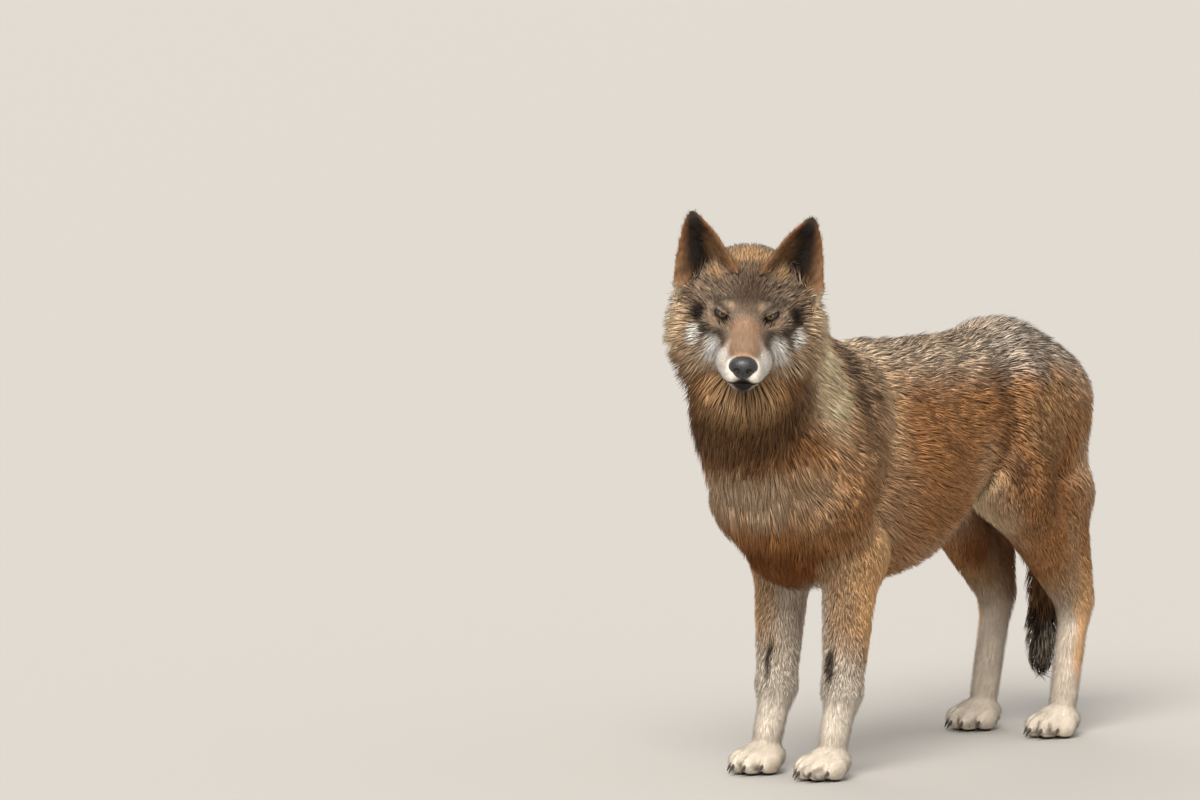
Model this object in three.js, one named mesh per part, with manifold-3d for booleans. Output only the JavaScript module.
import * as THREE from 'three';
import Module from 'manifold-3d';

// A standing wolf in its winter coat, life size. Millimetres, +Z up, +X the animal's left side,
// the body along Y with the chest toward -Y. The body is laid out with the neck straight;
// `pose` then turns the neck and head to the left. Every mass has its bare size and the depth
// of the coat over it, and the solids reach out to the tips of the coat.

const wasm = await Module();
wasm.setup();

// ---------------------------------------------------------------- driving sizes
const GAP = 0.3;                               // clearance at every cut between neighbours
const EYES = { y: -650, z: 797 };               // eye line of the level, straight-held head
const FORE_PAW = { x: 64, y: -336 };
const HIND_PAW = { x: 78, y: 303 };
const SHIFT = { x: -18.5, y: 156.3 };          // puts the middle of the outline over the origin

const NECK_AXIS = new THREE.Vector3(0, -0.8, 0.6);
const NECK_TURNS = [                            // pivots of the turn to the left
  { y: -440, z: 640 }, { y: -485, z: 680 }, { y: -530, z: 720 },
];
const TURN = { angle: 11.5, reach: 30 };
const NOD = { y: -510, z: 715, angle: 12.5, reach: 40 };
const LEAN = 3;

const CUTS = {                                  // planes that divide the body
  neck: { point: [0, -372, 612], normal: [0, -0.8, 0.6] },
  head: { point: [0, -560, 738], normal: [0, -0.8, 0.6] },
  hip: { point: [0, 70, 360], normal: [0, 0.347, -0.938] },
  fore_pastern: { point: [0, 0, 68], normal: [0, 0, -1] },
  hind_pastern: { point: [0, 0, 68], normal: [0, 0, -1] },
};

const EAR = { base: [66, 86, 38], tip: [95, 92, 138], front: [0.22, -0.97, 0], half: 50, cup: 62,
  back: 18, thick: 4, coat: 3, outer: { share: 1, taper: 0.53 }, inner: { share: 1.28, taper: 0.8 } };
const EYE = { at: [37, 11, 0], radius: 12.5, gaze: [0.3, -0.95, 0.02], slant: 24, half: 17, open: 6.5 };
const NOSE = { at: [0, -106, -49], size: [23, 17, 18.5] };

// ---------------------------------------------------------------- materials
const FINISH = {
  coat: { color: 0x8c7862, roughness: 0.95 },
  dark: { color: 0x3c3632, roughness: 0.9 },
  pale: { color: 0xd8cdbb, roughness: 0.95 },
  nose: { color: 0x1c1b1c, roughness: 0.45 },
  eye: { color: 0x6b4a18, roughness: 0.08 },
  claw: { color: 0x2b2724, roughness: 0.5 },
};

// ---------------------------------------------------------------- masses of the body
const masses = [];
const vec = (p) => new THREE.Vector3(...p);
const local = ([x, y, z]) => [x, EYES.y + y, EYES.z + z];
const flip = ([x, y, z]) => [-x, y, z];

/** A limb-like mass: two round ends joined by a straight flank. */
function limb(part, a, b, ra, rb, coat, blend, flat = [1, 1, 1], both = false) {
  for (const turn of both ? [(p) => p, flip] : [(p) => p]) {
    masses.push({ part, kind: 'limb', a: vec(turn(a)), b: vec(turn(b)), ra: ra + coat, rb: rb + coat,
      blend, flat });
  }
}

/** An egg-shaped mass, tilted about X by a few degrees where the body slopes. */
function egg(part, at, size, coat, blend, tilt = 0, both = false) {
  for (const turn of both ? [(p) => p, flip] : [(p) => p]) {
    masses.push({ part, kind: 'egg', at: vec(turn(at)), size: size.map((s) => s + coat), blend,
      tilt: THREE.MathUtils.degToRad(tilt) });
  }
}

// trunk
egg('trunk', [0, -202, 478], [88, 230, 160], 28, 0, -7);
limb('trunk', [0, -60, 480], [0, 190, 552], 112, 80, 30, 70, [0.88, 1, 1.05]);
limb('trunk', [0, -285, 614], [0, 195, 604], 50, 48, 30, 60);
egg('trunk', [0, 245, 566], [78, 104, 80], 28, 60, -22);
egg('trunk', [0, -366, 426], [60, 74, 94], 30, 70, 12);
limb('trunk', [36, -282, 604], [70, -364, 448], 34, 45, 20, 40, [1, 1, 1], true);
limb('trunk', [70, -366, 440], [68, -288, 356], 43, 40, 16, 40, [1, 1, 1], true);
limb('trunk', [56, 232, 548], [74, 165, 435], 80, 54, 20, 50, [0.8, 1, 1], true);
limb('trunk', [50, 296, 540], [70, 320, 405], 60, 34, 22, 50, [0.85, 1, 1], true);
// neck
limb('neck', [0, -328, 548], [0, -540, 728], 92, 66, 38, 60, [0.98, 1, 1]);
limb('neck', [0, -310, 606], [0, -500, 775], 54, 44, 34, 50);
limb('neck', [0, -420, 508], [0, -565, 666], 68, 56, 44, 50);
// forelegs
limb('foreleg', [67, -288, 350], [64, -310, 148], 40, 25, 11, 30, [1, 1, 1], true);
egg('foreleg', [70, -260, 350], [22, 28, 32], 10, 25, 0, true);
egg('foreleg', [64, -311, 132], [25, 25, 34], 6, 18, 0, true);
limb('foreleg', [64, -311, 126], [64, -334, 62], 24, 22, 6, 14, [1, 1, 1], true);
// hind legs
limb('hindleg', [76, 160, 425], [77, 328, 225], 54, 21, 10, 40, [1, 1, 1], true);
limb('hindleg', [70, 316, 405], [77, 354, 232], 31, 13, 12, 30, [1, 1, 1], true);
limb('hindleg', [73, 262, 385], [77, 322, 258], 32, 15, 9, 30, [0.6, 1, 1], true);
egg('hindleg', [77, 340, 206], [20, 28, 33], 5, 16, 0, true);
limb('hindleg', [77, 338, 200], [78, 306, 62], 23, 21, 6, 14, [1, 1, 1], true);
// tail
limb('tail', [0, 310, 592], [0, 368, 510], 24, 22, 24, 26);
limb('tail', [0, 368, 510], [0, 374, 320], 20, 18, 30, 18);
limb('tail', [0, 374, 320], [0, 356, 125], 18, 8, 24, 18);
// head, measured from the eye line
egg('head', local([0, 92, 16]), [65, 54, 55], 11, 0);
egg('head', local([0, 118, -14]), [54, 60, 60], 24, 50);
limb('head', local([0, 12, -7]), local([0, 68, 14]), 31, 49, 6, 18);
egg('head', local([46, 50, -36]), [26, 48, 40], 12, 22, 0, true);
egg('head', local([43, 20, -14]), [19, 34, 15], 6, 16, 0, true);
limb('head', local([0, 5, -27]), local([0, -92, -50]), 37, 25, 3, 18, [0.98, 1, 0.95]);
egg('head', local([17, -82, -62]), [16, 36, 19], 3, 12, 0, true);
egg('head', local([25, -52, -58]), [18, 32, 21], 4, 12, 0, true);
limb('head', local([0, 40, -76]), local([0, -84, -84]), 28, 13, 3, 12, [1.15, 1, 0.9]);
egg('head', local([27, 7, 14]), [16, 12, 8], 3, 12, 0, true);
egg('head', local([63, 88, -50]), [36, 50, 52], 36, 36, 0, true);
// paws: the palm and four toes
for (const [part, { x, y }] of [['forepaw', FORE_PAW], ['hindpaw', HIND_PAW]]) {
  egg(part, [x, y - 12, 27], [33, 38, 24], 5, 14, 0, true);
  for (const [tx, ty, length] of [[-30, -34, 24], [-11, -52, 28], [11, -52, 28], [30, -34, 24]]) {
    egg(part, [x + tx, y + ty, 19], [13, length, 17], 4, 7, 10, true);
  }
}

// ---------------------------------------------------------------- distance to the coat's surface
const scratch = new THREE.Vector3();

/** Signed distance from point p to one mass. */
function distance(m, p) {
  if (m.kind === 'egg') {
    const q = scratch.copy(p).sub(m.at);
    const c = Math.cos(m.tilt), s = Math.sin(m.tilt);
    const y = c * q.y + s * q.z, z = -s * q.y + c * q.z;
    const [sx, sy, sz] = m.size;
    const k0 = Math.hypot(q.x / sx, y / sy, z / sz);
    const k1 = Math.hypot(q.x / (sx * sx), y / (sy * sy), z / (sz * sz));
    return (k0 * (k0 - 1)) / Math.max(k1, 1e-9);
  }
  const mid = [(m.a.x + m.b.x) / 2, (m.a.y + m.b.y) / 2, (m.a.z + m.b.z) / 2];
  const px = (p.x - mid[0]) / m.flat[0] + mid[0] - m.a.x;
  const py = (p.y - mid[1]) / m.flat[1] + mid[1] - m.a.y;
  const pz = (p.z - mid[2]) / m.flat[2] + mid[2] - m.a.z;
  const bx = m.b.x - m.a.x, by = m.b.y - m.a.y, bz = m.b.z - m.a.z;
  const length = Math.hypot(bx, by, bz);
  const along = (px * bx + py * by + pz * bz) / length;
  const off = Math.sqrt(Math.max(px * px + py * py + pz * pz - along * along, 0));
  const k = (m.ra - m.rb) / length;
  const t = THREE.MathUtils.clamp(along + (off * k) / Math.sqrt(1 - k * k), 0, length);
  const r = m.ra + ((m.rb - m.ra) * t) / length;
  return (Math.hypot(off, along - t) - r) * Math.min(...m.flat);
}

/** Field of the chosen parts, grown outward by `grow`. */
function fieldOf(parts, grow = 0) {
  const chosen = masses.filter((m) => parts.includes(m.part));
  return (p) => {
    let f = 400;
    for (const m of chosen) {
      const d = distance(m, p);
      const h = m.blend > 0 ? Math.max(m.blend - Math.abs(f - d), 0) / m.blend : 0;
      f = Math.min(f, d) - (h * h * m.blend) / 4;
    }
    return f - grow;
  };
}

/** Signed distance in front of a named cut. */
function beyond(cut, p) {
  const [x, y, z] = cut.point, [nx, ny, nz] = cut.normal;
  return (p.x - x) * nx + (p.y - y) * ny + (p.z - z) * nz;
}

/** Limits a field to one side of a cut, `slack` past it. */
const before = (field, cut, slack) => (p) => Math.max(field(p), beyond(cut, p) - slack);
const after = (field, cut, slack) => (p) => Math.max(field(p), -beyond(cut, p) - slack);

// ---------------------------------------------------------------- solids
function toManifold(points, faces) {
  return new wasm.Manifold(new wasm.Mesh({
    numProp: 3,
    vertProperties: new Float32Array(points.flatMap((p) => [p.x, p.y, p.z])),
    triVerts: new Uint32Array(faces.flat()),
  }));
}

/** Distance from `from` along `dir` to the field's surface, at most `reach`. */
function march(field, from, dir, reach) {
  const p = new THREE.Vector3();
  let near = 0, far = 0;
  const at = (t) => field(p.copy(dir).multiplyScalar(t).add(from));
  while (far < reach && at(far) < 0) { near = far; far += 6; }
  if (far >= reach) return reach;
  for (let i = 0; i < 14; i += 1) {
    const t = (near + far) / 2;
    if (at(t) < 0) near = t; else far = t;
  }
  return Math.max(near, 0.5);
}

/** Closes stacked rings of equal size into one solid, with a point at either end. */
function closeRings(rings, start, end) {
  const n = rings[0].length;
  const points = [...rings.flat(), start, end];
  const faces = [];
  for (let i = 0; i < n; i += 1) {
    const j = (i + 1) % n;
    for (let k = 0; k + 1 < rings.length; k += 1) {
      const a = k * n + i, b = k * n + j, c = a + n, d = b + n;
      faces.push([a, b, d], [a, d, c]);
    }
    const last = (rings.length - 1) * n;
    faces.push([points.length - 2, j, i], [points.length - 1, last + i, last + j]);
  }
  return toManifold(points, faces);
}

/** Solid of a field: rings round `stations` ([x, y, z, ny, nz]), each vertex found on the surface. */
function loft(field, stations, segments, { reach = 400, tips = 400 } = {}) {
  const side = new THREE.Vector3(1, 0, 0);
  const rings = [];
  let first = null, last = null;
  stations.forEach(([x, y, z, ny, nz], k) => {
    const centre = new THREE.Vector3(x, y, z);
    const normal = new THREE.Vector3(0, ny, nz).normalize();
    const across = new THREE.Vector3().crossVectors(normal, side);
    rings.push(Array.from({ length: segments }, (_, i) => {
      const t = (2 * Math.PI * i) / segments;
      const dir = side.clone().multiplyScalar(Math.cos(t)).addScaledVector(across, Math.sin(t));
      return centre.clone().addScaledVector(dir, march(field, centre, dir, reach));
    }));
    if (k === 0) {
      const back = normal.clone().negate();
      first = centre.clone().addScaledVector(back, march(field, centre, back, tips));
    }
    if (k === stations.length - 1) {
      last = centre.clone().addScaledVector(normal, march(field, centre, normal, tips));
    }
  });
  return closeRings(rings, first, last);
}

/** Stations evenly spread along a polyline of [x, y, z, ny, nz] knots. */
function spread(knots, count) {
  return Array.from({ length: count }, (_, i) => {
    const s = (i / (count - 1)) * (knots.length - 1);
    const k = Math.min(Math.floor(s), knots.length - 2);
    return knots[k].map((v, j) => v + (knots[k + 1][j] - v) * (s - k));
  });
}

/** Large block whose face lies on a cut; `side` +1 covers what is in front of it. */
function halfSpace(cut, side, offset) {
  const box = new THREE.BoxGeometry(1200, 1200, 1200);
  const normal = vec(cut.normal).normalize().multiplyScalar(side);
  box.translate(0, 0, 600);
  box.applyQuaternion(new THREE.Quaternion().setFromUnitVectors(new THREE.Vector3(0, 0, 1), normal));
  const at = vec(cut.point).addScaledVector(normal, offset);
  box.translate(at.x, at.y, at.z);
  return fromGeometry(box);
}

/** Welds a three.js geometry into a closed solid. */
function fromGeometry(geometry) {
  const position = geometry.attributes.position;
  const seen = new Map(), points = [], remap = [];
  for (let i = 0; i < position.count; i += 1) {
    const p = new THREE.Vector3().fromBufferAttribute(position, i);
    const key = [p.x, p.y, p.z].map((v) => Math.round(v * 1e4)).join();
    if (!seen.has(key)) { seen.set(key, points.length); points.push(p); }
    remap.push(seen.get(key));
  }
  const index = Array.from(geometry.index.array, (i) => remap[i]);
  const faces = [];
  for (let i = 0; i < index.length; i += 3) {
    const [a, b, c] = index.slice(i, i + 3);
    if (a !== b && b !== c && a !== c) faces.push([a, b, c]);
  }
  return toManifold(points, faces);
}

/** Keeps the part of a solid behind (`before`) or in front of a cut, half a gap clear of it. */
const keepBehind = (solid, cut) => solid.subtract(halfSpace(cut, 1, -GAP / 2));
const keepAhead = (solid, cut) => solid.subtract(halfSpace(cut, -1, -GAP / 2));

// ---------------------------------------------------------------- pose
const smooth = (t) => { const c = THREE.MathUtils.clamp(t, 0, 1); return c * c * (3 - 2 * c); };

/** Turns one point with the neck and head. */
function pose(p) {
  const weight = ({ y, z }, reach) => smooth(
    ((origin.y - y) * NECK_AXIS.y + (origin.z - z) * NECK_AXIS.z + reach) / (2 * reach));
  const turn = (pivot, axis, degrees) => {
    const at = new THREE.Vector3(0, pivot.y, pivot.z);
    p.sub(at).applyAxisAngle(axis, THREE.MathUtils.degToRad(degrees)).add(at);
  };
  const origin = p.clone();
  const nod = weight(NOD, NOD.reach);
  turn(NOD, new THREE.Vector3(1, 0, 0), NOD.angle * nod);
  turn(NOD, new THREE.Vector3(0, 1, 0), LEAN * nod);
  for (const pivot of [...NECK_TURNS].reverse()) {
    turn(pivot, new THREE.Vector3(0, 0, 1), TURN.angle * weight(pivot, TURN.reach));
  }
  return p;
}

// ---------------------------------------------------------------- the nodes
const group = new THREE.Group();
group.name = 'wolf';
group.position.set(SHIFT.x, SHIFT.y, 0);

function addNode(name, solid, finish) {
  const { vertProperties, triVerts } = solid.getMesh();
  const position = new Float32Array(vertProperties.length);
  for (let i = 0; i < position.length; i += 3) {
    pose(new THREE.Vector3(...vertProperties.slice(i, i + 3))).toArray(position, i);
  }
  const geometry = new THREE.BufferGeometry();
  geometry.setAttribute('position', new THREE.BufferAttribute(position, 3));
  geometry.setIndex(new THREE.BufferAttribute(new Uint32Array(triVerts), 1));
  geometry.computeVertexNormals();
  const material = new THREE.MeshStandardMaterial({ ...FINISH[finish], metalness: 0 });
  material.name = finish;
  const mesh = new THREE.Mesh(geometry, material);
  mesh.name = name;
  group.add(mesh);
}

// Trunk: chest, belly, shoulders and haunches, down to the oblique cut across the thighs.
const flesh = ['trunk', 'neck', 'head', 'hindleg'];
const trunkStations = spread([
  [0, -478, 440, 1, 0], [0, -440, 445, 1, 0], [0, -380, 450, 1, 0], [0, -300, 470, 1, 0],
  [0, -200, 480, 1, 0], [0, -60, 495, 1, 0], [0, 60, 525, 1, 0], [0, 150, 545, 1, 0],
  [0, 230, 555, 1, 0], [0, 310, 555, 1, 0], [0, 350, 555, 1, 0], [0, 372, 550, 1, 0],
], 24);
const trunkSolid = (grow) => loft(before(fieldOf(flesh, grow), CUTS.hip, 10), trunkStations, 26,
  { tips: 20 });
const trunk = keepBehind(keepBehind(trunkSolid(0), CUTS.neck), CUTS.hip);
const trunkCutter = trunkSolid(GAP);
addNode('trunk', trunk, 'coat');

// Neck with its mane, between two cuts square to its axis.
const neckStations = spread([
  [0, -354, 580, -0.8, 0.6], [0, -420, 628, -0.8, 0.6], [0, -500, 682, -0.8, 0.6],
  [0, -572, 735, -0.8, 0.6],
], 11);
const neckLoft = loft(fieldOf(['trunk', 'neck', 'head']), neckStations, 26, { tips: 10 });
addNode('neck', keepAhead(keepBehind(neckLoft, CUTS.head), CUTS.neck), 'coat');

// Head, from the cut behind the jaw to the tip of the muzzle.
const { y: ey, z: ez } = EYES;
const headStations = spread([
  [0, ey + 102, ez - 42, -0.8, 0.6], [0, ey + 78, ez - 30, -0.84, 0.54], [0, ey + 50, ez - 24, -0.94, 0.3],
  [0, ey + 26, ez - 24, -1, 0.12], [0, ey + 2, ez - 28, -1, 0], [0, ey - 20, ez - 42, -1, -0.06],
  [0, ey - 42, ez - 50, -1, -0.12], [0, ey - 64, ez - 56, -1, -0.12], [0, ey - 88, ez - 60, -1, -0.12],
  [0, ey - 106, ez - 64, -1, -0.1], [0, ey - 114, ez - 66, -1, -0.1],
], 24);
const headField = (grow) => fieldOf(['neck', 'head'], grow);
const headSolid = (grow) => loft(headField(grow), headStations, 26, { tips: 30 });

/** Stretched ball about a point of the head, its long side along the eye's slant. */
function ball(at, size, segments, rings, tilt = 0, turn = 0) {
  const shape = new THREE.SphereGeometry(1, segments, rings);
  shape.scale(...size).rotateY(tilt).rotateZ(turn).translate(...local(at));
  return fromGeometry(shape);
}

const eyeAt = (side) => [side * EYE.at[0], EYE.at[1], EYE.at[2]];
const gazeTurn = (side) => side * Math.atan2(EYE.gaze[0], -EYE.gaze[1]);
const noseShape = (grow) => ball(NOSE.at, NOSE.size.map((s) => s + grow), 14, 8);
let head = keepAhead(headSolid(0), CUTS.head).subtract(noseShape(GAP));
for (const side of [1, -1]) {
  const grown = EYE.radius + GAP;
  const slant = -side * THREE.MathUtils.degToRad(EYE.slant);
  const front = eyeAt(side).map((v, i) => v + (i === 0 ? side : 1) * EYE.gaze[i] * 15);
  head = head.subtract(ball(eyeAt(side), [grown, grown, grown], 12, 7))
    .subtract(ball(front, [EYE.half, 18, EYE.open], 10, 6, slant, gazeTurn(side)));
}
addNode('head', head, 'coat');
addNode('nose', noseShape(0), 'nose');
for (const [name, side] of [['left_eye', 1], ['right_eye', -1]]) {
  addNode(name, ball(eyeAt(side), [1, 1, 1].map((s) => s * EYE.radius), 12, 7), 'eye');
}

// Ears: cupped leaves that stand on the corners of the skull.
function earSolid(side) {
  const mirror = new THREE.Vector3(side, 1, 1);
  const base = vec(local(EAR.base)).multiply(mirror);
  const up = vec(local(EAR.tip)).multiply(mirror).sub(base);
  const length = up.length();
  up.normalize();
  const front = vec(EAR.front).multiply(mirror);
  front.addScaledVector(up, -front.dot(up)).normalize();
  const across = new THREE.Vector3().crossVectors(up, front).multiplyScalar(side);
  const rows = [-0.22, 0, 0.2, 0.42, 0.62, 0.8, 0.94];
  const columns = 7;
  const rings = rows.map((t) => {
    const rise = Math.max(t, 0);
    const reach = ({ share, taper }) => EAR.half * share * (1 - rise) ** taper + EAR.coat * 0.7;
    const cup = EAR.cup * (1 - 0.75 * rise);
    const setback = EAR.back * (1 - 0.7 * rise);
    const thick = EAR.thick / 2 + EAR.coat + 8 * Math.max(0.35 - rise, 0);
    const sheet = (s, out) => {
      const at = s * reach(s < 0 ? EAR.inner : EAR.outer);
      const bow = (at / EAR.half) ** 2;
      return base.clone()
        .addScaledVector(up, (t < 0 && s < 0 ? t * 0.1 : t) * length)
        .addScaledVector(across, at)
        .addScaledVector(front, (1.3 * cup * bow) / (1 + 0.9 * bow) - setback + out);
    };
    const steps = Array.from({ length: columns + 1 }, (_, i) => (2 * i) / columns - 1);
    const edge = (s) => thick * Math.sqrt(Math.max(1 - s ** 4, 0));
    return [...steps.map((s) => sheet(s, -edge(s))),
      ...steps.slice(1, -1).reverse().map((s) => sheet(s, edge(s)))];
  });
  if (side > 0) rings.forEach((ring) => ring.reverse());
  const foot = base.clone().addScaledVector(up, -0.24 * length);
  const tip = base.clone().addScaledVector(up, length + EAR.coat * 0.7);
  return closeRings(rings, foot, tip);
}
const headCutter = headSolid(GAP);
for (const [name, side] of [['left_ear', 1], ['right_ear', -1]]) {
  addNode(name, earSolid(side).subtract(headCutter).subtract(halfSpace(CUTS.head, -1, 0)), 'dark');
}

// Legs, paws and claws, each on its own side.
const midline = (side) => ({ point: [0, 0, 0], normal: [side, 0, 0] });
const ground = { point: [0, 0, 0], normal: [0, 0, 1] };
const foreStations = (side) => spread([
  [70, -284, 372, 0, -1], [67, -288, 332, 0, -1], [66, -296, 255, 0, -1], [65, -306, 185, 0, -1],
  [64, -311, 132, 0, -1], [64, -320, 98, 0, -1], [64, -334, 60, 0, -1],
], 14).map(([x, ...rest]) => [side * x, ...rest]);
const hindStations = (side) => spread([
  [66, 236, 430, 0.347, -0.938], [68, 240, 400, 0.347, -0.938], [70, 250, 366, 0.37, -0.93],
  [73, 266, 328, 0.42, -0.9], [75, 286, 288, 0.5, -0.86], [77, 310, 246, 0.5, -0.86],
  [77, 326, 212, 0.35, -0.94], [77, 333, 180, 0, -1], [77, 324, 138, -0.1, -1],
  [78, 312, 90, -0.1, -1], [78, 306, 58, 0, -1],
], 16).map(([x, ...rest]) => [side * x, ...rest]);
const pawStations = ({ x, y }, side) => spread([
  [x, y + 26, 30, -1, 0], [x, y + 10, 30, -1, 0], [x, y - 20, 27, -1, 0], [x, y - 45, 20, -1, 0],
  [x, y - 62, 17, -1, 0], [x, y - 76, 15, -1, 0],
], 10).map(([px, ...rest]) => [side * px, ...rest]);

function pawSolid(part, spot, side, grow) {
  const field = after(fieldOf([part, part.replace('paw', 'leg')], grow),
    { point: [0, 0, 76], normal: [0, 0, -1] }, 0);
  const grounded = (p) => Math.max(field(p), -p.z - 3);
  return loft(grounded, pawStations(spot, side), 16, { reach: 120, tips: 30 });
}

/** Hooked claw that points forward and down from the toe at (x, y). */
function clawSolid(x, y) {
  const rings = Array.from({ length: 4 }, (_, k) => {
    const t = k / 4;
    const r = 4.4 * (1 - 0.8 * t);
    return Array.from({ length: 5 }, (_unused, i) => {
      const a = Math.PI * (2 * i / 5 + 0.5);
      return new THREE.Vector3(x + 0.75 * r * Math.cos(a), y - 16 * t, 15 - 10 * t * t + r * Math.sin(a));
    });
  });
  return closeRings(rings, new THREE.Vector3(x, y + 2, 15), new THREE.Vector3(x, y - 16, 4.4));
}

const toeTips = [[-30, -51], [-11, -73], [11, -73], [30, -51]];
for (const [sideName, side] of [['left', 1], ['right', -1]]) {
  for (const [end, spot] of [['fore', FORE_PAW], ['hind', HIND_PAW]]) {
    const cut = CUTS[`${end}_pastern`];
    const paw = keepAhead(pawSolid(`${end}paw`, spot, side, 0), cut).subtract(halfSpace(ground, -1, 0));
    let leg = null;
    if (end === 'fore') {
      leg = loft(fieldOf(['foreleg', 'forepaw']), foreStations(side), 14, { reach: 90, tips: 6 })
        .subtract(trunkCutter);
    } else {
      const inner = { point: [side * GAP / 2, 0, 0], normal: [side, 0, 0] };
      const field = after(fieldOf(['trunk', 'hindleg', 'hindpaw']), CUTS.hip, 10);
      leg = keepAhead(loft(after(field, midline(side), 8), hindStations(side), 16, { reach: 260, tips: 6 }),
        CUTS.hip).subtract(halfSpace(inner, -1, 0));
    }
    addNode(`${sideName}_${end}leg`, keepBehind(leg, cut), end === 'fore' ? 'pale' : 'coat');
    addNode(`${sideName}_${end}paw`, paw, 'pale');
    const pawCutter = pawSolid(`${end}paw`, spot, side, GAP);
    toeTips.forEach(([tx, ty], i) => {
      const claw = clawSolid(side * (spot.x + tx), spot.y + ty).subtract(pawCutter);
      addNode(`${sideName}_${end}claw_${i + 1}`, claw, 'claw');
    });
  }
}

// Tail: hangs straight down behind the hocks, clear of the haunches.
const tailStations = spread([
  [0, 322, 578, 0.58, -0.82], [0, 345, 545, 0.5, -0.86], [0, 368, 505, 0.2, -0.98],
  [0, 372, 440, 0, -1], [0, 374, 340, 0, -1], [0, 370, 260, 0, -1], [0, 362, 180, 0, -1],
  [0, 356, 120, 0, -1], [0, 355, 108, 0, -1],
], 12);
let tail = loft(fieldOf(['tail']), tailStations, 14, { reach: 90, tips: 40 }).subtract(trunkCutter);
for (const side of [1, -1]) {
  const field = after(fieldOf(['trunk', 'hindleg', 'hindpaw'], GAP), CUTS.hip, 10);
  tail = tail.subtract(loft(after(field, midline(side), 8), hindStations(side), 16,
    { reach: 260, tips: 6 }));
}
addNode('tail', tail, 'coat');

export default group;
